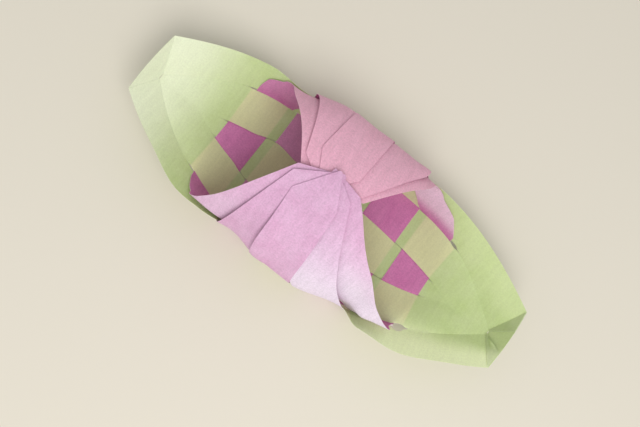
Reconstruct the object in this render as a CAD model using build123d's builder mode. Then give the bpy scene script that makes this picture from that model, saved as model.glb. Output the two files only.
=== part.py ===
# Woven paper boat: a slit hull sheet and five cross strips gathered into a canopy (mm)
import os
from bisect import bisect
from math import acos, hypot, pi, sin, tan

from build123d import *

os.makedirs("parts", exist_ok=True)

# Paper thickness and the clearance between two sheets that lie on each other
paper = 0.15
sheet_clearance = 0.07
sheet_trim = 0.02
layer = paper + sheet_clearance

# Hull: half lengths, half widths and heights at the middle and at the ends
keel_end = 66.3
flat_half = 16.0
keel_rise = 10.3
middle_band_half = 8.2
middle_band_end = 51.0
crease_end_half = 0.3
chine_half = 22.4
chine_end_half = 0.8
chine_lift = 4.2
floor_dish = 0.12
rim_half = 27.2
rim_overrun = 10.9
rim_reach = keel_end + rim_overrun
rim_low = 15.0
rim_lift = 4.0
end_rake = 3.7
floor_z = layer + paper / 2 - sheet_trim

# Slits, narrow along the hull and wider where a strip passes through
slit_end = 44.0
slit_half = 0.15
pass_half = 0.95
pass_inner = 1.05
pass_outer = 0.5
pass_clearance = 0.4
ramp_half = 0.8

# Cross strips: width, place on the floor, and how fast each side leans to the gather
strip_width = 14.6
strip_x = (-35.6, -18.6, 0.0, 18.6, 35.6)
near_lean_ratios = (1.3, 1.6, 1.6, 1.6, 1.6)
far_lean_ratios = (1.15, 1.55, 1.6, 1.6, 1.25)
wall_share = 0.27
wall_stand_ratio = 0.7

# Canopy: the ridge, the gather, the pointed ends and the order of the layers
ridge_z = 36.0
ridge_flat = 13.0
shoulder = 12.0
gather_x = -4.5
near_pass = 3.8
far_pass = 1.2
point_length = 10.0
point_tip = 0.8
far_order = (-0.5, 3.1, 4.9, 1.3, -2.3)
near_over_far = 9.0
lift_order = 3.0
lift_steps = (3.02, 3.1)
stack_steps = (3.2, 3.62)

# Facets: shares of the hull's bare ends, and marks from the rim to past the ridge
end_steps = (0.25, 0.45, 0.65, 0.83, 1)
wall_step = 2.5
step_gap_ratio = 0.012
point_margin_ratio = 0.25
arm_steps = (3, 3.03, 3.1, 3.16, 3.23, 3.31, 3.4, 3.5, 3.62, 3.75, 3.88, 4, 4.12)

# Stations along the hull, at the edges of every strip and on to both ends
strip_end = strip_x[-1] + strip_width / 2
stations = [x + edge * strip_width / 2 for x in strip_x for edge in (-1, 1)]
for step in end_steps:
    reach = strip_end + (keel_end - strip_end) * step
    stations += [-reach, reach]
stations.sort()


def keel_height(x):
    """Height of the middle of the floor at a station."""
    rise = max(0.0, abs(x) - flat_half) / (keel_end - flat_half)
    return floor_z + keel_rise * rise**2


def band_half(x):
    """Half width of the middle band, which narrows to a crease at the ends."""
    share = max(0.0, 1 - (abs(x) / middle_band_end) ** 2.5)
    return crease_end_half + (middle_band_half - crease_end_half) * share


def chine_width(x):
    """Half width of the floor."""
    share = (abs(x) / keel_end) ** 2.7
    return chine_half + (chine_end_half - chine_half) * share


def chine_height(x):
    """Height of the fold between floor and wall."""
    share = max(0.0, abs(x) - flat_half) / (keel_end - flat_half)
    return keel_height(x) + floor_dish + chine_lift * sin(pi * share) ** 2


def rim_width(x):
    """Half width of the hull at the rim."""
    return rim_half * (1 - (abs(x) / rim_reach) ** 3.3)


def rim_height(x):
    """Height of the rim."""
    return rim_low + rim_lift * (abs(x) / keel_end) ** 6


def rake(x):
    """How far the rim stands out beyond the keel towards the ends."""
    return end_rake * (x / keel_end) ** 3


def station_profile(x, side):
    """Crease, chine and rim points of one half of the hull at a station."""
    low, chine, rim = keel_height(x), chine_height(x), rim_height(x)
    chine_x = x + rake(x) * (chine - low) / (rim - low)
    return (
        Vector(x, side * band_half(x), low),
        Vector(chine_x, side * chine_width(x), chine),
        Vector(x + rake(x), side * rim_width(x), rim),
    )


def profile(x, side):
    """The same three points anywhere, straight from one station to the next."""
    after = min(max(bisect(stations, x), 1), len(stations) - 1)
    start, end = stations[after - 1], stations[after]
    share = (x - start) / (end - start)
    pairs = zip(station_profile(start, side), station_profile(end, side))
    return [a + (b - a) * share for a, b in pairs]


def floor_point(x, side, k):
    """Floor surface: k runs 0 to 1 over the middle band and 1 to 2 over the side band."""
    crease, chine, rim = profile(x, side)
    if k <= 1:
        return Vector(x, k * crease.Y, crease.Z)
    return crease + (chine - crease) * (k - 1)


def side_point(x, side, k):
    """Wall for k up to 3, canopy from the rim to the ridge for k up to 4, and past the ridge."""
    crease, chine, rim = profile(x, side)
    if k <= 3:
        return chine + (rim - chine) * (k - 2)
    v = min(k - 3, 5 - k)
    turn = 1 if k <= 4 else -1
    up = (rim - chine).normalized() * shoulder
    rise = rim + Vector(0, up.Y, up.Z)
    ridge = Vector(rim.X, 0, ridge_z)
    flat = ridge + Vector(0, side * ridge_flat, 0)
    spot = rim * (1 - v) ** 3 + rise * (3 * v * (1 - v) ** 2) + flat * (3 * v**2 * (1 - v)) + ridge * v**3
    return Vector(spot.X, turn * spot.Y, spot.Z)


def slopes(surface, x, side, k):
    """Directions of a surface along the boat and along the strip."""
    step = 0.001
    along_x = (surface(x + step, side, k) - surface(x - step, side, k)) * (0.5 / step)
    along_k = (surface(x, side, k + step) - surface(x, side, k - step)) * (0.5 / step)
    return along_x, along_k


def outward(surface, x, side, k):
    """Unit normal that points out of the boat."""
    along_x, along_k = slopes(surface, x, side, k)
    return (along_k.cross(along_x) * side).normalized()


def path_x(strip, side, k):
    """Middle of a strip: straight across the floor, then leaning to the gather."""
    lean = (near_lean_ratios if side < 0 else far_lean_ratios)[strip]
    share = wall_share * (k - 2) if k <= 3 else wall_share + (1 - wall_share) * (k - 3)
    return strip_x[strip] + (gather_x - strip_x[strip]) * max(0.0, share) ** lean


def ease(value, start, end):
    """Smooth step from 0 to 1."""
    t = min(1.0, max(0.0, (value - start) / (end - start)))
    return t * t * (3 - 2 * t)


def side_offset(strip, side, k):
    """Distance of a strip from the wall and canopy surface, outward positive."""
    start = -1.0 if strip % 2 == 0 else 1.0 + wall_stand_ratio * min(1, k - 2)
    low = lift_order if strip == 2 else start
    top = far_order[strip] + (near_over_far if side < 0 else 0.0)
    lifted = start + (low - start) * ease(k, *lift_steps)
    return layer * (lifted + (top - low) * ease(k, *stack_steps))


def strip_spot(strip, side, x, k):
    """Point of a strip above the chine, straight from one mark to the next."""
    above = next((mark for mark in arm_steps if mark >= k), arm_steps[-1])
    below = max((mark for mark in arm_steps if mark < above), default=above)
    if k <= arm_steps[0]:
        above = below = k
    spots = []
    for mark in (below, above):
        lift = outward(side_point, x, side, mark) * side_offset(strip, side, mark)
        spots.append(side_point(x, side, mark) + lift)
    share = (k - below) / (above - below) if above > below else 0.0
    return spots[0] + (spots[1] - spots[0]) * share


def half_across(strip, side, k):
    """Half width of a leaning strip, measured along the boat."""
    step = 0.01
    x = path_x(strip, side, k)
    along_x, along_k = slopes(side_point, x, side, k)
    lean = (path_x(strip, side, k + step) - path_x(strip, side, k - step)) / (2 * step)
    return strip_width / 2 * hypot(1, lean / along_k.length)


def arm_outline(strip, side):
    """Marks up an arm with the strip's two edges there: straight sides, then a point."""
    tip = 4 + (near_pass if side < 0 else far_pass) / (3 * ridge_flat)
    elbow, run, step = tip, 0.0, 0.005
    while run < point_length:
        here = side_point(path_x(strip, side, elbow), side, elbow)
        back = side_point(path_x(strip, side, elbow - step), side, elbow - step)
        run += (here - back).length
        elbow -= step
    shift = path_x(strip, side, tip) - path_x(strip, side, elbow)
    turn = strip_width / 2 * shift / point_length / slopes(side_point, gather_x, side, 4)[1].length
    last = tip - point_margin_ratio * (tip - elbow)
    corners = {-1: min(elbow + turn, last), 1: min(elbow - turn, last)}
    own = [*corners.values(), tip]
    shared = [mark for mark in arm_steps if mark < tip and min(abs(mark - k) for k in own) > step_gap_ratio]
    rows = []
    for k in sorted(shared + own):
        edges = []
        for hand, corner in sorted(corners.items()):
            start = min(k, corner)
            edge = path_x(strip, side, start) + hand * half_across(strip, side, start)
            end = path_x(strip, side, tip) + hand * point_tip / 2
            edges.append(edge + (end - edge) * max(0.0, k - corner) / (tip - corner))
        rows.append((k, *edges))
    return rows


def side_section(strip, side, k, low, high):
    """Edges of a strip on the wall or canopy, and the way out there."""
    points = [strip_spot(strip, side, x, k) for x in (low, high)]
    return points, outward(side_point, (low + high) / 2, side, k)


def floor_section(strip, side, place):
    """Edges of a strip on the floor: at the keel, before and past the slit, or at the chine."""
    weave = 1.0 if strip % 2 == 0 else -1.0
    points = []
    middle_out = Vector()
    for edge in (-1, 1):
        x = strip_x[strip] + edge * strip_width / 2
        crease, chine, rim = profile(x, side)
        reach = (chine - crease).length
        bend = acos((chine - crease).normalized().dot((rim - chine).normalized()))
        if place == "keel":
            k, shift = 0, -weave
        elif place == "band":
            k, shift = 1 - ramp_half / band_half(x), -weave
        elif place == "slit":
            k, shift = 1 + ramp_half / reach, weave
        else:
            k, shift = 2 - weave * layer / tan(bend / 2) / reach, weave
        out = outward(floor_point, x, side, k)
        points.append(floor_point(x, side, k) + out * shift * layer)
        middle_out += out / 2
    return points, middle_out


def paper_section(points, out):
    """Section of the paper from edge to edge of a strip, on its own plane."""
    across = points[1] - points[0]
    with BuildSketch(Plane((points[0] + points[1]) / 2, x_dir=across, z_dir=across.cross(out))) as section:
        Rectangle(across.length, paper)
    return section.sketch


def paper_corners(points, out):
    """Four corners of the same section, in order around it."""
    left, right = points
    across = (right - left).normalized()
    half = (out - across * out.dot(across)).normalized() * (paper / 2)
    return [left - half, right - half, right + half, left + half]


def folded_sheet(sections):
    """Solid with flat facets from each section to the next, both faces split along one diagonal."""
    outlines = [sections[0], sections[-1]]
    for before, after in zip(sections, sections[1:]):
        for i in range(4):
            quad = [before[i - 1], before[i], after[i], after[i - 1]]
            if i == 3:
                quad = quad[1:] + quad[:1]
            outlines += [quad[:3], [quad[0], *quad[2:]]]
    return Solid(Shell([Face(Wire.make_polygon(outline)) for outline in outlines]))


def mitred(points, distance):
    """A polyline moved sideways, with its corners mitred."""
    moved = []
    for i, point in enumerate(points):
        before = (point - points[max(i - 1, 0)]) if i else points[1] - point
        after = (points[i + 1] - point) if i + 1 < len(points) else before
        normals = [Vector(-d.Y, d.X).normalized() for d in (before, after)]
        both = (normals[0] + normals[1]).normalized()
        moved.append(point + both * (distance / both.dot(normals[0])))
    return moved


def hull_plane(x):
    """Section plane of the hull, raked towards the ends."""
    up = Vector(rake(x), 0, rim_height(x) - keel_height(x))
    return Plane((x, 0, keel_height(x)), x_dir=(0, 1, 0), z_dir=Vector(0, 1, 0).cross(up))


def hull_half(x):
    """Crease, chine and rim of one half in the section plane."""
    plane = hull_plane(x)
    arms = [point - plane.origin for point in profile(x, 1)]
    return [Vector(arm.dot(plane.x_dir), arm.dot(plane.y_dir)) for arm in arms]


def strip_of_plan(middle, inner, outer, start, end):
    """Band in plan beside a curve, cut through the hull on both sides."""
    xs = [start] + [x for x in stations if start < x < end] + [end]
    for side in (-1, 1):
        near = [(x, side * (middle(x) - inner)) for x in xs]
        far = [(x, side * (middle(x) + outer)) for x in reversed(xs)]
        with BuildSketch(Plane.XY.offset(-1)) as plan:
            with BuildLine():
                Polyline(*near, *far, close=True)
            make_face()
        extrude(plan.sketch, amount=rim_low, mode=Mode.SUBTRACT)


# Hull sheet: bottom, walls and closed ends
with BuildPart() as hull:
    for x in stations:
        half = hull_half(x)
        whole = [Vector(-p.X, p.Y) for p in reversed(half)] + half
        outline = mitred(whole, paper / 2) + list(reversed(mitred(whole, -paper / 2)))
        with BuildSketch(hull_plane(x)):
            with BuildLine():
                Polyline(*outline, close=True)
            make_face()
    loft(ruled=True)
    for end in (-1, 1):
        crease, chine, rim = hull_half(end * keel_end)
        closing = [(-rim.X, rim.Y), (-crease.X, 0), (crease.X, 0), (rim.X, rim.Y)]
        flap = [(crease.X, 0), (rim.X, rim.Y), (rim.X / 3, rim.Y)]
        for outline, start in ((closing, 0), (flap, paper)):
            with BuildSketch(hull_plane(end * keel_end).offset(-end * start)):
                with BuildLine():
                    Polyline(*outline, close=True)
                make_face()
            extrude(amount=-end * paper)
    strip_of_plan(band_half, slit_half, slit_half, -slit_end, slit_end)
    strip_of_plan(chine_width, slit_half, slit_half, -slit_end, slit_end)
    for x in strip_x:
        reach = strip_width / 2 + pass_clearance
        strip_of_plan(band_half, pass_half, pass_half, x - reach, x + reach)
        strip_of_plan(chine_width, pass_inner, pass_outer, x - reach, x + reach)
hull.part.label = "hull"
export_step(hull.part, "parts/hull.step")


def woven_strip(strip):
    """One cross strip: woven floor and walls, two arms and two pointed ends."""
    with BuildPart() as woven:
        for side in (-1, 1):
            floor = [floor_section(strip, side, place) for place in ("keel", "band", "slit", "chine")]
            arm = [side_section(strip, side, *row) for row in arm_outline(strip, side)]
            reach = half_across(strip, side, wall_step)
            middle = path_x(strip, side, wall_step)
            wall = [floor[-1], side_section(strip, side, wall_step, middle - reach, middle + reach), arm[0]]
            for run in (floor, wall):
                loft([paper_section(*section) for section in run], ruled=True)
            add(folded_sheet([paper_corners(*section) for section in arm]))
        split(bisect_by=Plane.XY, keep=Keep.TOP)
    woven.part.label = f"strip_{strip + 1}"
    export_step(woven.part, f"parts/strip_{strip + 1}.step")


# Cross strips, from the bow to the stern
for number in range(len(strip_x)):
    woven_strip(number)
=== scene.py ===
import math

import bpy
import numpy as np
from mathutils import Matrix, Vector


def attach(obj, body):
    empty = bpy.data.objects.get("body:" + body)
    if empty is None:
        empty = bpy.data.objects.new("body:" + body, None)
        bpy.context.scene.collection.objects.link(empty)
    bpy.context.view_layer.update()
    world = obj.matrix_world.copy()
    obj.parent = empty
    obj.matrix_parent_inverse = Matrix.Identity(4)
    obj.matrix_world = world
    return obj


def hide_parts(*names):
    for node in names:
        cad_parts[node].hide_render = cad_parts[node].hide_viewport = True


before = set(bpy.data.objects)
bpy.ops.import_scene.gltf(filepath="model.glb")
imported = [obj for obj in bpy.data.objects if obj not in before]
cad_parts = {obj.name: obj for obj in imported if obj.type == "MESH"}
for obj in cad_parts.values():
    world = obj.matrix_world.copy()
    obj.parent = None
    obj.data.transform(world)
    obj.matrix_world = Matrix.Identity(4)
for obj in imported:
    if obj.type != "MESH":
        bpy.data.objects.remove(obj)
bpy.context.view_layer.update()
print("frame loaded:", sorted(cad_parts))

mm = 0.001

# lines of the hull sheet, in millimetres; a higher power keeps a line straight for longer
hullForm = {
    "keelEnd": 66.3, "flatHalf": 16.0, "keelRise": 10.3, "floorZ": 0.275, "floorDish": 0.12,
    "bandHalf": 8.2, "bandEnd": 51.0, "bandPower": 2.5, "bandLeast": 0.05, "creaseEnd": 0.3,
    "chineHalf": 22.4, "chineEnd": 0.8, "chinePower": 2.7, "chineLift": 4.2,
    "rimHalf": 27.2, "rimReach": 77.2, "rimPower": 3.3, "rimLow": 15.0, "rimLift": 4.0, "liftPower": 6,
    "endRake": 3.7, "rakePower": 3, "paper": 0.1,
    "slitEnd": 44.2, "slitGap": 0.06, "passGap": 0.24, "passSpare": 0.4, "passEase": 0.2, "showEase": 0.3,
}

# cross strips from left to right, in millimetres; side -1 is the near side
# past: how far an arm runs on past the ridge; farOrder and nearOverFar: layers in the canopy
stripForm = {
    "widths": (12.9, 14.6, 14.6, 14.6, 12.9), "places": (-35.6, -18.6, 0.0, 18.6, 35.6),
    "middle": 2, "outer": (0, 4),
    "bend": {-1: (2.0, 0.0, 0.0, 0.0, -2.8), 1: (1.5, 0.0, 0.0, 0.0, -2.8)},
    "lean": {-1: (1.42, 1.85, 0.7, 1.2, 1.6), 1: (1.4, 1.85, 0.7, 1.65, 1.1)},
    "past": {-1: (3.8, 3.8, 3.8, 3.8, 3.8), 1: (6.5, 3.6, 3.4, 3.4, 2.4)},
    "gatherX": (-8.4, -7.9, -7.4, -7.0, -3.9), "wallShare": 0.27,
    "ridgeZ": 36.0, "ridgeFlat": 13.0, "shoulder": 9.0, "endShoulder": 4.5, "shoulderSpan": (14.0, 34.0),
    "nearTip": 2.2, "pointLength": 10.0, "pointTip": 0.8, "pointShare": 0.25,
    "farOrder": (-0.5, 3.1, 4.9, 1.3, -2.3), "nearOverFar": 9.0, "liftOrder": 3.0,
    "innerGrow": 3.0, "layer": 0.22, "weaveLayer": 0.15, "rampHalf": 0.4, "paper": 0.1,
}

# places where a side slit is spread open: place, reach, cut from the band, cut from the wall
slitSpread = {-1: (40.8, 3.4, 0.9, 2.2), 1: (41.2, 2.2, 0.3, 0.4)}

# the rim is drawn in by the strips and springs out beside them, and the middle band is not quite even
# (place, reach to the left, reach to the right, outward shift)
rimSway = {
    -1: ((-41.0, 13.0, 13.0, 1.5), (-19.0, 12.0, 12.0, -1.8), (20.5, 17.0, 8.0, -3.1), (43.0, 14.0, 14.0, 1.2)),
    1: ((-27.0, 13.0, 14.0, -1.9), (20.0, 9.0, 9.0, -0.4)),
}
bandSway = {-1: ((-25.0, 9.0, 9.0, 1.3),), 1: ((-25.0, 9.0, 9.0, 1.6),)}

# slow waves of hand-folded paper: length and height of each in millimetres, and how they are turned
waves = {
    "length": (58.0, 41.0, 33.0), "height": (0.22, 0.16, 0.1), "fadeBelow": 4.0,
    "direction": (0.8, 0.53, 0.29), "wavePhase": 1.7, "axisPhase": 2.3,
}


def ease(value, start, end):
    t = np.clip((np.asarray(value, float) - start) / (end - start), 0, 1)
    return t * t * (3 - 2 * t)


def bump(value, centre, half):
    return 1 - ease(np.abs(np.asarray(value, float) - centre), 0, half)


def sway(shifts, x):
    x = np.asarray(x, float)
    return sum(d * bump(x, p, np.where(x < p, left, right)) for p, left, right, d in shifts)


def unit(v):
    return v / np.linalg.norm(v, axis=-1, keepdims=True)


def vec(x, y, z):
    return np.stack(np.broadcast_arrays(np.asarray(x, float), y, z), -1)


# hull lines along the boat
def endShare(x):
    f = hullForm
    return np.maximum(0, np.abs(x) - f["flatHalf"]) / (f["keelEnd"] - f["flatHalf"])


def keelHeight(x):
    return hullForm["floorZ"] + hullForm["keelRise"] * endShare(x) ** 2


def bandHalf(x, side):
    f = hullForm
    share = np.maximum(0, 1 - (np.abs(x) / f["bandEnd"]) ** f["bandPower"])
    return f["creaseEnd"] + (f["bandHalf"] - f["creaseEnd"]) * share + sway(bandSway[int(side)], x)


def rimWidth(x):
    f = hullForm
    return f["rimHalf"] * (1 - (np.abs(x) / f["rimReach"]) ** f["rimPower"])


def profile(x, side):
    f = hullForm
    x = np.asarray(x, float)
    along = np.abs(x) / f["keelEnd"]
    low = keelHeight(x)
    chine = low + f["floorDish"] + f["chineLift"] * np.sin(np.pi * np.minimum(endShare(x), 1)) ** 2
    chineY = f["chineHalf"] + (f["chineEnd"] - f["chineHalf"]) * along ** f["chinePower"]
    rim = f["rimLow"] + f["rimLift"] * along ** f["liftPower"]
    rimY = rimWidth(x) + sway(rimSway[int(side)], x)
    rake = f["endRake"] * (x / f["keelEnd"]) ** f["rakePower"]
    chineX = x + rake * (chine - low) / (rim - low)
    return vec(x, side * bandHalf(x, side), low), vec(chineX, side * chineY, chine), vec(x + rake, side * rimY, rim)


# k runs 0-1 over the middle band and 1-2 over the side band
def floorPoint(x, side, k):
    crease, chine, rim = profile(x, side)
    k = np.asarray(k, float)[..., None]
    middle = crease * np.array((1, 0, 1)) + crease * np.array((0, 1, 0)) * k
    return np.where(k <= 1, middle, crease + (chine - crease) * (k - 1))


# k runs 2-3 up the wall, 3-4 from the rim to the ridge, and on past the ridge
def sidePoint(x, side, k):
    f = stripForm
    crease, chine, rim = profile(x, side)
    k = np.asarray(k, float)[..., None]
    v = np.clip(np.minimum(k - 3, 5 - k), 0, 1)
    shoulder = f["shoulder"] + (f["endShoulder"] - f["shoulder"]) * ease(np.abs(rim[..., :1]), *f["shoulderSpan"])
    rise = rim + unit(rim - chine) * shoulder * np.array((0, 1, 1))
    ridge = rim * np.array((1, 0, 0)) + np.array((0, 0, f["ridgeZ"]))
    flat = ridge + np.array((0, side * f["ridgeFlat"], 0))
    spot = rim * (1 - v) ** 3 + rise * (3 * v * (1 - v) ** 2) + flat * (3 * v**2 * (1 - v)) + ridge * v**3
    spot = np.where(k <= 4, spot, spot * np.array((1, -1, 1)))
    return np.where(k <= 3, chine + (rim - chine) * (k - 2), spot)


def outward(surface, x, side, k):
    x, k = np.broadcast_arrays(np.asarray(x, float), np.asarray(k, float))
    step = 0.001
    alongX = surface(x + step, side, k) - surface(x - step, side, k)
    alongK = surface(x, side, k + step) - surface(x, side, k - step)
    return unit(np.cross(alongK, alongX) * side)


def wavy(points):
    f = waves
    w = np.array(points, float)
    shift = np.zeros_like(w)
    for i, (length, height) in enumerate(zip(f["length"], f["height"])):
        for axis in range(3):
            turn = w @ np.roll(f["direction"], axis + i) * 2 * np.pi / length
            shift[:, axis] += height * np.sin(turn + f["wavePhase"] * i + f["axisPhase"] * axis)
    shift[:, 2] *= ease(w[:, 2], 0, f["fadeBelow"])
    return w + shift


# folds sharper than this show as an edge
sharpFold = math.radians(24)


# a sheet of paper from its middle surface: outer face, inner face and cut edge
def paperPiece(name, points, quads, thickness, marks, materials):
    points = wavy(points)
    quads = [tuple(dict.fromkeys(q)) for q in quads]
    quads = [q for q in quads if len(q) > 2]
    normals = np.zeros_like(points)
    for q in quads:
        corner = points[list(q)]
        n = sum(np.cross(corner[i - 1] - corner[0], corner[i] - corner[0]) for i in range(2, len(q)))
        normals[list(q)] += n
    normals /= np.maximum(np.linalg.norm(normals, axis=1, keepdims=True), 1e-9)
    count = len(points)
    verts = np.concatenate((points + normals * thickness / 2, points - normals * thickness / 2)) * mm
    edges = {(q[i - 1], q[i]) for q in quads for i in range(len(q))}
    rims = [(b, a, a + count, b + count) for a, b in sorted(edges) if (b, a) not in edges]
    faces = quads + [tuple(i + count for i in reversed(q)) for q in quads] + rims
    mesh = bpy.data.meshes.new(name)
    mesh.from_pydata(verts.tolist(), [], faces)
    for material in materials:
        mesh.materials.append(material)
    index = [0] * len(quads) + [1] * len(quads) + [2] * len(rims)
    mesh.polygons.foreach_set("material_index", index)
    mesh.polygons.foreach_set("use_smooth", [True] * len(faces))
    for mark, (outer, inner) in marks.items():
        layer = mesh.attributes.new(mark, "FLOAT", "POINT")
        layer.data.foreach_set("value", np.concatenate((outer, inner)).astype(np.float32))
    mesh.set_sharp_from_angle(angle=sharpFold)
    mesh.update()
    piece = bpy.data.objects.new(name, mesh)
    bpy.context.scene.collection.objects.link(piece)
    return piece


def gridQuads(rows, columns, start):
    quads = []
    for r in range(rows - 1):
        for c in range(columns - 1):
            a = start + r * columns + c
            quads.append((a, a + 1, a + columns + 1, a + columns))
    return quads


# paper finishes: colours of the sheet, of its tints and of the painted light on it, grain, fibres and the light it
# lets through
hullFinish = {
    # painted light: the paler colour at the bow and the lit colour of the glow through the stern walls
    "sheet": (0.46, 0.57, 0.265), "pale": (0.51, 0.61, 0.325), "edge": (0.78, 0.83, 0.62),
    "under": (0.62, 0.63, 0.365), "paintedBright": (0.82, 0.90, 0.68), "lit": (0.79, 0.91, 0.54),
    "grain": 0.05, "blotch": 0.06, "roughness": 0.82, "bump": 0.25, "glow": 0.5, "glowDepth": 0.0004,
}
stripFinish = {
    # painted light: a lighter colour for the far arms, and paler colours for the sheen where arms catch light
    "sheet": (0.64, 0.37, 0.56), "pale": (0.70, 0.445, 0.64), "edge": (0.88, 0.70, 0.80),
    "paintedBright": (0.78, 0.69, 0.84), "farSheetPaintedLight": (0.77, 0.42, 0.55),
    "inner": (0.53, 0.17, 0.375), "innerPale": (0.58, 0.21, 0.42), "innerPaintedBright": (0.80, 0.55, 0.72),
    "grain": 0.10, "blotch": 0.09, "roughness": 0.86, "bump": 0.4, "glow": 0.3, "glowDepth": 0.0003,
}

# texture that the papers share: scale and detail of each noise, and the part of its range that is used
paperGrain = {
    "cloud": (140, 3), "grain": (1900, 2), "fibre": (900, 2), "noiseRoughness": 0.6, "noiseSpan": (0.3, 0.7),
    "fibreStretch": (1.0, 0.12, 0.12), "fibreTurn": (0.3, 0.2, 0.6), "bumpDepth": 0.00006, "specular": 0.25,
}


# the tint that each mark on the mesh blends in; besides the strips showing through the green paper, these marks are
# painted light
def paperMaterial(name, finish, colour, pale, tintsAndPaintedLight):
    g = paperGrain
    material = bpy.data.materials.new(name)
    material.use_nodes = True
    nodes, links = material.node_tree.nodes, material.node_tree.links
    shader = nodes["Principled BSDF"]
    shader.inputs["Roughness"].default_value = finish["roughness"]
    shader.inputs["Specular IOR Level"].default_value = g["specular"]
    shader.inputs["Subsurface Weight"].default_value = finish["glow"]
    shader.inputs["Subsurface Scale"].default_value = finish["glowDepth"]
    shader.inputs["Subsurface Radius"].default_value = (1, 1, 1)
    place = nodes.new("ShaderNodeTexCoord").outputs["Object"]

    def noise(kind, source):
        scale, detail = g[kind]
        texture = nodes.new("ShaderNodeTexNoise")
        texture.inputs["Scale"].default_value = scale
        texture.inputs["Detail"].default_value = detail
        texture.inputs["Roughness"].default_value = g["noiseRoughness"]
        links.new(source, texture.inputs["Vector"])
        return texture.outputs["Fac"]

    def blend(share, low, high):
        mix = nodes.new("ShaderNodeMix")
        mix.data_type = "RGBA"
        links.new(share, mix.inputs[0])
        for socket, value in ((mix.inputs[6], low), (mix.inputs[7], high)):
            if isinstance(value, tuple):
                socket.default_value = (*value, 1)
            else:
                links.new(value, socket)
        return mix.outputs[2]

    def ranged(source, low, high):
        ramp = nodes.new("ShaderNodeMapRange")
        ramp.inputs["From Min"].default_value, ramp.inputs["From Max"].default_value = g["noiseSpan"]
        ramp.inputs["To Min"].default_value = low
        ramp.inputs["To Max"].default_value = high
        links.new(source, ramp.inputs["Value"])
        return ramp.outputs["Result"]

    stretched = nodes.new("ShaderNodeMapping")
    stretched.inputs["Scale"].default_value = g["fibreStretch"]
    stretched.inputs["Rotation"].default_value = g["fibreTurn"]
    links.new(place, stretched.inputs["Vector"])
    grain = noise("grain", place)
    fibre = noise("fibre", stretched.outputs["Vector"])
    tone = blend(ranged(noise("cloud", place), 0, 1), colour, pale)
    for mark, tint in tintsAndPaintedLight.items():
        shown = nodes.new("ShaderNodeAttribute")
        shown.attribute_name = mark
        tone = blend(shown.outputs["Fac"], tone, tint)
    shade = nodes.new("ShaderNodeMath")
    shade.operation = "MULTIPLY"
    links.new(ranged(grain, 1 - finish["grain"], 1 + finish["grain"]), shade.inputs[0])
    links.new(ranged(fibre, 1 - finish["blotch"] / 2, 1 + finish["blotch"] / 2), shade.inputs[1])
    spots = nodes.new("ShaderNodeVectorMath")
    spots.operation = "SCALE"
    links.new(tone, spots.inputs[0])
    links.new(shade.outputs[0], spots.inputs["Scale"])
    links.new(spots.outputs[0], shader.inputs["Base Color"])
    rough = nodes.new("ShaderNodeBump")
    rough.inputs["Strength"].default_value = finish["bump"]
    rough.inputs["Distance"].default_value = g["bumpDepth"]
    links.new(shade.outputs[0], rough.inputs["Height"])
    links.new(rough.outputs["Normal"], shader.inputs["Normal"])
    return material


# hull marks: strips showing through the paper, and painted light paler at the bow and glowing on the stern walls
hullTintsAndLight = {"showThrough": hullFinish["under"], "paintedLight": hullFinish["paintedBright"], "lit": hullFinish["lit"]}
hullOuter = paperMaterial("greenPaperOuter", hullFinish, hullFinish["sheet"], hullFinish["pale"], hullTintsAndLight)
hullInner = paperMaterial("greenPaperInner", hullFinish, hullFinish["sheet"], hullFinish["pale"], hullTintsAndLight)
hullEdge = paperMaterial("greenPaperEdge", hullFinish, hullFinish["edge"], hullFinish["pale"], {})
# strip marks, all painted light: a lighter colour on the far arms and paler sheen patches
pinkPaintedLight = {"farSidePaintedLight": stripFinish["farSheetPaintedLight"], "paintedLight": stripFinish["paintedBright"]}
purplePaintedLight = {"paintedLight": stripFinish["innerPaintedBright"]}
pinkFace = paperMaterial("pinkPaperFace", stripFinish, stripFinish["sheet"], stripFinish["pale"], pinkPaintedLight)
purpleFace = paperMaterial("purplePaperFace", stripFinish, stripFinish["inner"], stripFinish["innerPale"], purplePaintedLight)
pinkEdge = paperMaterial("pinkPaperEdge", stripFinish, stripFinish["edge"], stripFinish["pale"], {})
print("papers made")

# mesh of the hull sheet: stations along it, more of them beside a strip, and rows across each band
hullMesh = {
    "alongStep": 1.1, "stationGap": 0.05, "stationsBeside": (-0.3, 0.0, 0.3, 0.6),
    "middleRows": 13, "bandRows": 11, "wallRows": 13, "weldDigits": 3,
}


# width of the slits, which are wider where a strip passes through
def passOpening(x):
    f = hullForm
    gap = f["slitGap"] + np.zeros_like(x)
    for place, width in zip(stripForm["places"], stripForm["widths"]):
        reach = width / 2 + f["passSpare"]
        beside = ease(np.abs(x - place), reach - f["passEase"], reach + f["passEase"])
        gap += (f["passGap"] - f["slitGap"]) * (1 - beside)
    return np.where(np.abs(x) < f["slitEnd"], gap, 0.0)


# where every second strip lies against the sheet and shows through
def stripsBeside(x, parity):
    spare = hullForm["showEase"]
    hit = np.zeros_like(x)
    for place, width in zip(stripForm["places"][parity::2], stripForm["widths"][parity::2]):
        hit = np.maximum(hit, 1 - ease(np.abs(x - place), width / 2 - spare, width / 2 + spare))
    return hit


def hullStations():
    f = hullForm
    marks = [-f["keelEnd"], f["keelEnd"], -f["slitEnd"], f["slitEnd"]]
    for place, width in zip(stripForm["places"], stripForm["widths"]):
        for edge in (-1, 1):
            marks += [place + edge * (width / 2 + near) for near in hullMesh["stationsBeside"]]
    count = int(2 * f["keelEnd"] / hullMesh["alongStep"])
    marks += list(np.linspace(-f["keelEnd"], f["keelEnd"], count))
    kept = []
    for x in sorted(marks):
        if not kept or x - kept[-1] > hullMesh["stationGap"]:
            kept.append(x)
    return np.array(kept)


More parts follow.
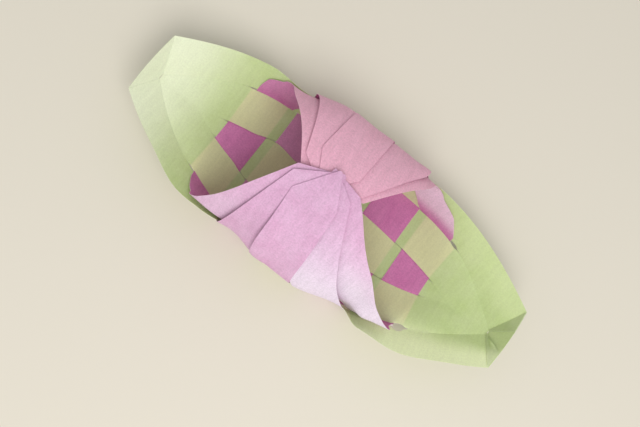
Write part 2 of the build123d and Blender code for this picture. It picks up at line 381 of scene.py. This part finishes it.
# hull sheet: five bands with slits between them, joined at both ends
def buildHull():
    xs = hullStations()
    gap = passOpening(xs)
    parts, quads, outer, inner, start = [], [], [], [], 0

    def add(rows, tintOut, tintIn, flip):
        nonlocal start
        points = np.concatenate(rows)
        found = gridQuads(len(rows), len(rows[0]), start)
        quads.extend(tuple(reversed(q)) if flip else q for q in found)
        parts.append(points)
        outer.append(np.broadcast_to(tintOut, (len(rows), len(rows[0]))).reshape(-1))
        inner.append(np.broadcast_to(tintIn, (len(rows), len(rows[0]))).reshape(-1))
        start += len(points)

    even, odd = stripsBeside(xs, 0), stripsBeside(xs, 1)
    near, far = (np.maximum(bandHalf(xs, side) - gap, hullForm["bandLeast"]) for side in (-1, 1))
    across = np.linspace(-1, 1, hullMesh["middleRows"])
    add([vec(xs, np.where(t < 0, near, far) * t, keelHeight(xs)) for t in across], even, odd, True)
    for side in (-1, 1):
        crease, chine, rim = profile(xs, side)
        reach = np.linalg.norm(chine - crease, axis=1)
        rise = np.linalg.norm(rim - chine, axis=1)
        place, half, bandCut, wallCut = slitSpread[side]
        opened = bump(xs, place, half)
        bandGap, wallGap = gap + bandCut * opened, gap + wallCut * opened
        bandSpan, wallSpan = 1 - (gap + bandGap) / reach, 1 - wallGap / rise
        across = np.linspace(0, 1, hullMesh["bandRows"])
        add([floorPoint(xs, side, 1 + gap / reach + bandSpan * t) for t in across], odd, even, side > 0)
        across = np.linspace(0, 1, hullMesh["wallRows"])
        add([sidePoint(xs, side, 2 + wallGap / rise + wallSpan * t) for t in across], even, odd, side > 0)
    points = np.concatenate(parts)
    key = {}
    digits = hullMesh["weldDigits"]
    merged = np.array([key.setdefault(tuple(np.round(p, digits)), i) for i, p in enumerate(points)])
    quads[:] = [tuple(int(merged[i]) for i in q) for q in quads]
    return points, quads, np.concatenate(outer), np.concatenate(inner)


# closed ends: one triangle of paper, and flaps that lie on its inner side
# (end, left edge, right edge, layers in from the triangle, how far the free edge stands up)
endFolds = {
    "bulge": 0.5, "lap": 0.22, "foot": 0.02, "rows": 22, "columns": 15,
    "liftAt": 0.5, "liftReach": 0.35, "liftShare": 0.5,
    "triangles": ((-1, -1, 1, 0, 0), (1, -1, 1, 0, 0)),
    "flaps": ((1, 0.33, 1.0, 1, 0.0), (1, -0.985, -0.42, 2, 0.9)),
}


def endSheet(end, low, high, depth, lift):
    f = endFolds
    tip = np.array([end * hullForm["keelEnd"]])
    w = np.linspace(low, high, f["columns"])
    rows = []
    for v in np.linspace(f["foot"], 1, f["rows"]):
        near, far = (sidePoint(tip, side, 2 + v)[0] for side in (-1, 1))
        spot = near + (far - near) * ((w + 1) / 2)[:, None]
        raised = lift * bump(v, f["liftAt"], f["liftReach"]) * bump(w, high, f["liftShare"] * (high - low))
        spot[:, 0] += end * (f["bulge"] * v * (1 - w**2) - (f["lap"] * depth + raised))
        rows.append(spot)
    return rows


# adds the end sheets and drops the points that no face uses
def closeEnds(points, quads, outer, inner):
    columns = endFolds["columns"]
    for sheet in endFolds["triangles"] + endFolds["flaps"]:
        rows = endSheet(*sheet)
        found = gridQuads(len(rows), columns, len(points))
        quads = quads + [q if sheet[0] > 0 else tuple(reversed(q)) for q in found]
        points = np.concatenate((points, *rows))
        bare = np.zeros(len(rows) * columns)
        outer, inner = np.concatenate((outer, bare)), np.concatenate((inner, bare))
    used = sorted({i for q in quads for i in q})
    renumber = {old: new for new, old in enumerate(used)}
    quads = [tuple(renumber[i] for i in q) for q in quads]
    return points[used], quads, outer[used], inner[used]


# painted light: the sheet is painted paler towards the bow, where it catches light, and painted with a glow of light
# through the walls of the stern
paler = {
    "bow": 0.8, "bowSpan": (42.0, 66.0),
    "near": 0.95, "far": 0.2, "wallSpan": (18.0, 40.0), "upWall": (0.4, 0.9),
}


def paintedHullLight(points):
    f = paler
    x, y = points[:, 0], points[:, 1]
    bow = f["bow"] * ease(-x, *f["bowSpan"])
    wall = np.where(y < 0, f["near"], f["far"]) * ease(np.abs(y) / rimWidth(x), *f["upWall"])
    return bow, wall * ease(x, *f["wallSpan"])


points, quads, outerTint, innerTint = closeEnds(*buildHull())
# painted light on the hull sheet: paler towards the bow and glowing on the stern walls
bow, walls = paintedHullLight(points)
marks = {"showThrough": (outerTint, innerTint), "paintedLight": (bow, bow), "lit": (walls, walls)}
hull = paperPiece("hullSheet", points, quads, hullForm["paper"], marks, (hullOuter, hullInner, hullEdge))
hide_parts("hull")
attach(hull, "root")
print("hull sheet:", len(hull.data.polygons), "faces")

# mesh of the strips: points across, steps along the arms and rows over the floor
stripMesh = {
    "across": 21, "armStart": 2.06, "armStep": 0.022, "pointStep": 0.005, "edgeStep": 0.12,
    "middleRows": 6, "rampRows": 7, "rampShare": 0.75, "sideRows": 11, "nudge": 1e-6,
}

# where along k each change of a strip starts and ends
armMarks = {
    "bend": (1.0, 2.2), "grow": (2.0, 3.0), "insetIn": (1.97, 2.8), "insetOut": (3.1, 3.9),
    "stepUp": (2.95, 3.12), "fanOut": (3.2, 3.62),
    "outerIn": (2.0, 2.6), "outerOut": (3.25, 3.9), "innerIn": (2.0, 2.5), "innerOut": (3.1, 3.5),
}

# how far the strips inside the walls stand in from the rim, at the left and right edge (strip, side)
wallInset = {
    (0, -1): (1.8, 0.4), (2, -1): (0.75, 0.45), (4, -1): (1.1, 5.2),
    (0, 1): (1.1, 0.5), (2, 1): (0.4, 0.4), (4, 1): (0.9, 1.0),
}

# edges that stand up a little from the strip below (strip, side, edge, mark, reach, height)
liftFrom = 0.1
edgeLifts = (
    (2, -1, -1, 3.36, 0.5, 1.9), (1, -1, -1, 3.35, 0.4, 0.35), (3, 1, 1, 3.25, 0.25, 0.9),
    (2, 1, 1, 3.3, 0.4, 0.4), (2, 1, -1, 3.4, 0.4, 0.3), (1, 1, -1, 3.3, 0.35, 0.3),
)

# edges that round the fold at the rim instead of running straight on
# (strip, side, edge, mark, reach below, reach above, cut back)
edgeTrims = (
    (0, 1, -1, 3.04, 0.42, 0.45, 4.4), (4, 1, 1, 3.04, 0.4, 0.45, 6.5), (1, 1, -1, 3.0, 0.2, 0.2, 0.8),
    (3, 1, 1, 3.06, 0.3, 0.35, 4.2), (3, -1, -1, 3.1, 0.3, 0.4, 2.0),
    (4, -1, 1, 3.4, 0.5, 0.3, -0.9), (0, -1, -1, 3.02, 0.3, 0.3, 1.2),
)

# painted light, standing in for sheen and light that the paper catches: how much paler it is painted outside and
# inside of an arm (strip, side), and on the floor of each strip
outerPaintedLight = {(0, -1): 0.25, (3, -1): 0.9, (4, -1): 0.9}
innerPaintedLight = {(4, 1): 0.95, (0, 1): 0.1}
floorPaintedLight = (0.0, 0.25, 0.0, 0.0, 0.0)


# middle line of an arm, leaning to the gather
def pathX(strip, side, k):
    f = stripForm
    start = f["places"][strip] + f["bend"][side][strip]
    k = np.asarray(k, float)
    share = np.where(k <= 3, f["wallShare"] * (k - 2), f["wallShare"] + (1 - f["wallShare"]) * (k - 3))
    return start + (f["gatherX"][strip] - start) * np.maximum(0, share) ** f["lean"][side][strip]


# how far an arm lies outside the common surface: inside or outside the wall, then in its layer of the canopy
def sideOffset(strip, side, k):
    f = stripForm
    start = -1.0 if strip % 2 == 0 else 1.0
    low = f["liftOrder"] if strip == f["middle"] else start
    top = f["farOrder"][strip] + (f["nearOverFar"] if side < 0 else 0.0)
    wallStart = start * f["weaveLayer"] / f["layer"]
    lifted = wallStart + (low - wallStart) * ease(k, *armMarks["stepUp"])
    return f["layer"] * (lifted + (top - low) * ease(k, *armMarks["fanOut"]))


# half the width along X, more where the arm runs aslant
def halfAcross(strip, side, k):
    step = stripMesh["edgeStep"]
    x = pathX(strip, side, k)
    run = np.linalg.norm(sidePoint(x, side, k + step) - sidePoint(x, side, k - step))
    slant = (pathX(strip, side, k + step) - pathX(strip, side, k - step)) / run
    return stripForm["widths"][strip] / 2 * math.hypot(1, slant)


# an edge of an arm: hand -1 is the left one
def edgeX(strip, side, hand, k):
    f = stripForm
    edge = pathX(strip, side, k) + hand * halfAcross(strip, side, k)
    if hand * f["places"][strip] < 0 and strip in f["outer"]:
        edge += hand * f["innerGrow"] * ease(k, *armMarks["grow"])
    for *where, mark, below, above, cut in edgeTrims:
        if where == [strip, side, hand]:
            edge -= hand * cut * float(bump(k, mark, below if k < mark else above))
    return edge


# the end of an arm and the corners where its point starts
def pointMarks(strip, side):
    f = stripForm
    ridgePace = 3 * f["ridgeFlat"]
    tip = 4 + f["past"][side][strip] / ridgePace
    elbow, run, step = tip, 0.0, stripMesh["pointStep"]
    while run < f["pointLength"]:
        here, back = (sidePoint(pathX(strip, side, k), side, k) for k in (elbow, elbow - step))
        run += np.linalg.norm(here - back)
        elbow -= step
    shift = pathX(strip, side, tip) - pathX(strip, side, elbow)
    turn = f["widths"][strip] / 2 * shift / f["pointLength"] / ridgePace
    last = tip - f["pointShare"] * (tip - elbow)
    return tip, {-1: min(elbow + turn, last), 1: min(elbow - turn, last)}


def armRows(strip, side):
    f = stripForm
    tip, corners = pointMarks(strip, side)
    tipX = pathX(strip, side, tip) + (f["nearTip"] if side < 0 else 0.0)
    step = stripMesh["armStep"]
    marks = sorted([*np.arange(stripMesh["armStart"], tip - step / 2, step), *corners.values(), tip])
    across = np.linspace(-1, 1, stripMesh["across"])
    atRim = np.interp(across, (-1, 1), wallInset.get((strip, side), (0, 0)))
    rows = []
    for k in marks:
        ends = []
        for hand in (-1, 1):
            edge = edgeX(strip, side, hand, min(k, corners[hand]))
            end = tipX + hand * f["pointTip"] / 2
            ends.append(edge + (end - edge) * max(0.0, k - corners[hand]) / (tip - corners[hand]))
        xs = ends[0] + (ends[1] - ends[0]) * (across + 1) / 2
        lift = sideOffset(strip, side, k) + np.zeros(len(across))
        for *where, hand, mark, reach, height in edgeLifts:
            if where == [strip, side]:
                lift += height * bump(k, mark, reach) * ease(across * hand, liftFrom, 1.0)
        spot = sidePoint(xs, side, k) + outward(sidePoint, xs, side, k) * lift[:, None]
        spot[:, 1] -= side * (atRim * ease(k, *armMarks["insetIn"]) * (1 - ease(k, *armMarks["insetOut"])))
        rows.append(spot)
    return rows, marks


# half of the floor, from the middle line through both slits to the wall
def floorRows(strip, side):
    f = stripForm
    weave = 1.0 if strip % 2 == 0 else -1.0
    level = np.linspace(-1, 1, stripMesh["across"]) * f["widths"][strip] / 2 + f["places"][strip]
    bend = f["bend"][side][strip]
    crease, chine, rim = profile(level, side)
    reach = np.linalg.norm(chine - crease, axis=1)
    fold = np.arccos(np.sum(unit(chine - crease) * unit(rim - chine), axis=1))
    last = reach - weave * f["weaveLayer"] / np.tan(fold / 2)
    rows = []

    def row(k, shift):
        xs = level + bend * ease(k, *armMarks["bend"]) / ease(2.0, *armMarks["bend"])
        rows.append(floorPoint(xs, side, k) + outward(floorPoint, xs, side, k) * shift * f["weaveLayer"])

    ramp = f["rampHalf"]
    for t in np.linspace(0, 1, stripMesh["middleRows"]):
        row((1 - ramp / bandHalf(level, side)) * t, -weave)
    for t in np.linspace(-stripMesh["rampShare"], stripMesh["rampShare"], stripMesh["rampRows"]):
        k = np.where(t < 0, 1 + t * ramp / bandHalf(level, side), 1 + t * ramp / reach)
        row(k + stripMesh["nudge"], weave * (2 * ease(t, -1, 1) - 1))
    for t in np.linspace(0, 1, stripMesh["sideRows"]):
        row(1 + (ramp + (last - ramp) * t) / reach, weave)
    return rows


def buildStrip(strip):
    f = armMarks
    across = stripMesh["across"]
    halves, tints = {}, {}
    for side in (-1, 1):
        floorHalf = floorRows(strip, side)
        arm, k = armRows(strip, side)
        k = np.concatenate((np.zeros(len(floorHalf)), k))
        # painted light: paler patches for sheen and light on the arms and on the floor
        outer = outerPaintedLight.get((strip, side), 0) * ease(k, *f["outerIn"]) * (1 - ease(k, *f["outerOut"]))
        inner = innerPaintedLight.get((strip, side), 0) * ease(k, *f["innerIn"]) * (1 - ease(k, *f["innerOut"]))
        inner = inner + floorPaintedLight[strip] * (1 - ease(k, *f["innerIn"]))
        # painted light: the far arms are painted in a lighter colour
        farLight = (side > 0) * ease(k, *f["outerIn"])
        halves[side], tints[side] = floorHalf + arm, np.stack((outer, inner, farLight))
    rows = halves[-1][:0:-1] + halves[1]
    tint = np.concatenate((tints[-1][:, :0:-1], tints[1]), axis=1)
    outer, inner, farLight = np.repeat(tint, across, axis=1)
    marks = {"paintedLight": (outer, inner), "farSidePaintedLight": (farLight, farLight)}
    quads = [tuple(reversed(q)) for q in gridQuads(len(rows), across, 0)]
    papers = (pinkFace, purpleFace, pinkEdge)
    piece = paperPiece(f"stripSheet{strip + 1}", np.concatenate(rows), quads, stripForm["paper"], marks, papers)
    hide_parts(f"strip_{strip + 1}")
    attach(piece, "root")
    print("strip", strip + 1, len(piece.data.polygons), "faces")


for number in range(len(stripForm["places"])):
    buildStrip(number)

# pale floor
stageLook = {"colour": (0.70, 0.665, 0.585), "roughness": 0.9, "half": 4.0}
floorMesh = bpy.data.meshes.new("floor")
h = stageLook["half"]
floorMesh.from_pydata([(-h, -h, 0), (h, -h, 0), (h, h, 0), (-h, h, 0)], [], [(0, 1, 2, 3)])
floor = bpy.data.objects.new("floor", floorMesh)
bpy.context.scene.collection.objects.link(floor)
floorPaint = bpy.data.materials.new("paleFloor")
floorPaint.use_nodes = True
floorShader = floorPaint.node_tree.nodes["Principled BSDF"]
floorShader.inputs["Base Color"].default_value = (*stageLook["colour"], 1)
floorShader.inputs["Roughness"].default_value = stageLook["roughness"]
floorMesh.materials.append(floorPaint)
print("floor laid")

# soft light: an even sky and one wide lamp above the near side
light = {
    "sky": 0.60, "skyColour": (1.0, 0.99, 0.965), "power": 2.7, "size": 0.4,
    "place": (0.16, -0.29, 0.57), "aim": (0, 0, 0.015), "colour": (1.0, 0.975, 0.93),
}
world = bpy.data.worlds.new("softSky")
world.use_nodes = True
world.node_tree.nodes["Background"].inputs["Color"].default_value = (*light["skyColour"], 1)
world.node_tree.nodes["Background"].inputs["Strength"].default_value = light["sky"]
bpy.context.scene.world = world
lampData = bpy.data.lights.new("windowLamp", "AREA")
lampData.size = light["size"]
lampData.energy = light["power"]
lampData.color = light["colour"]
lamp = bpy.data.objects.new("windowLamp", lampData)
lamp.location = light["place"]
lamp.rotation_mode = "QUATERNION"
lamp.rotation_quaternion = (Vector(light["aim"]) - lamp.location).to_track_quat("-Z", "Y")
bpy.context.scene.collection.objects.link(lamp)
print("light set")

# camera above the boat, a little to the near side: place in millimetres, focal length in pixels of its width
view = {
    "place": (-23.24, -57.46, 274.13), "focal": 850, "width": 640, "sensor": 36, "clipStart": 0.005,
    "right": (0.78794, 0.586505, 0.187517), "down": (0.610122, -0.784739, -0.109247),
    "ahead": (0.083078, 0.200488, -0.976167),
}
cameraData = bpy.data.cameras.new("camera")
cameraData.sensor_width = view["sensor"]
cameraData.lens = view["focal"] * view["sensor"] / view["width"]
cameraData.clip_start = view["clipStart"]
camera = bpy.data.objects.new("camera", cameraData)
axes = Matrix((view["right"], -Vector(view["down"]), -Vector(view["ahead"]))).transposed()
camera.matrix_world = Matrix.Translation(Vector(view["place"]) * mm) @ axes.to_4x4()
bpy.context.scene.collection.objects.link(camera)
bpy.context.scene.camera = camera
bpy.context.scene.view_settings.view_transform = "Standard"

print("scene ready")
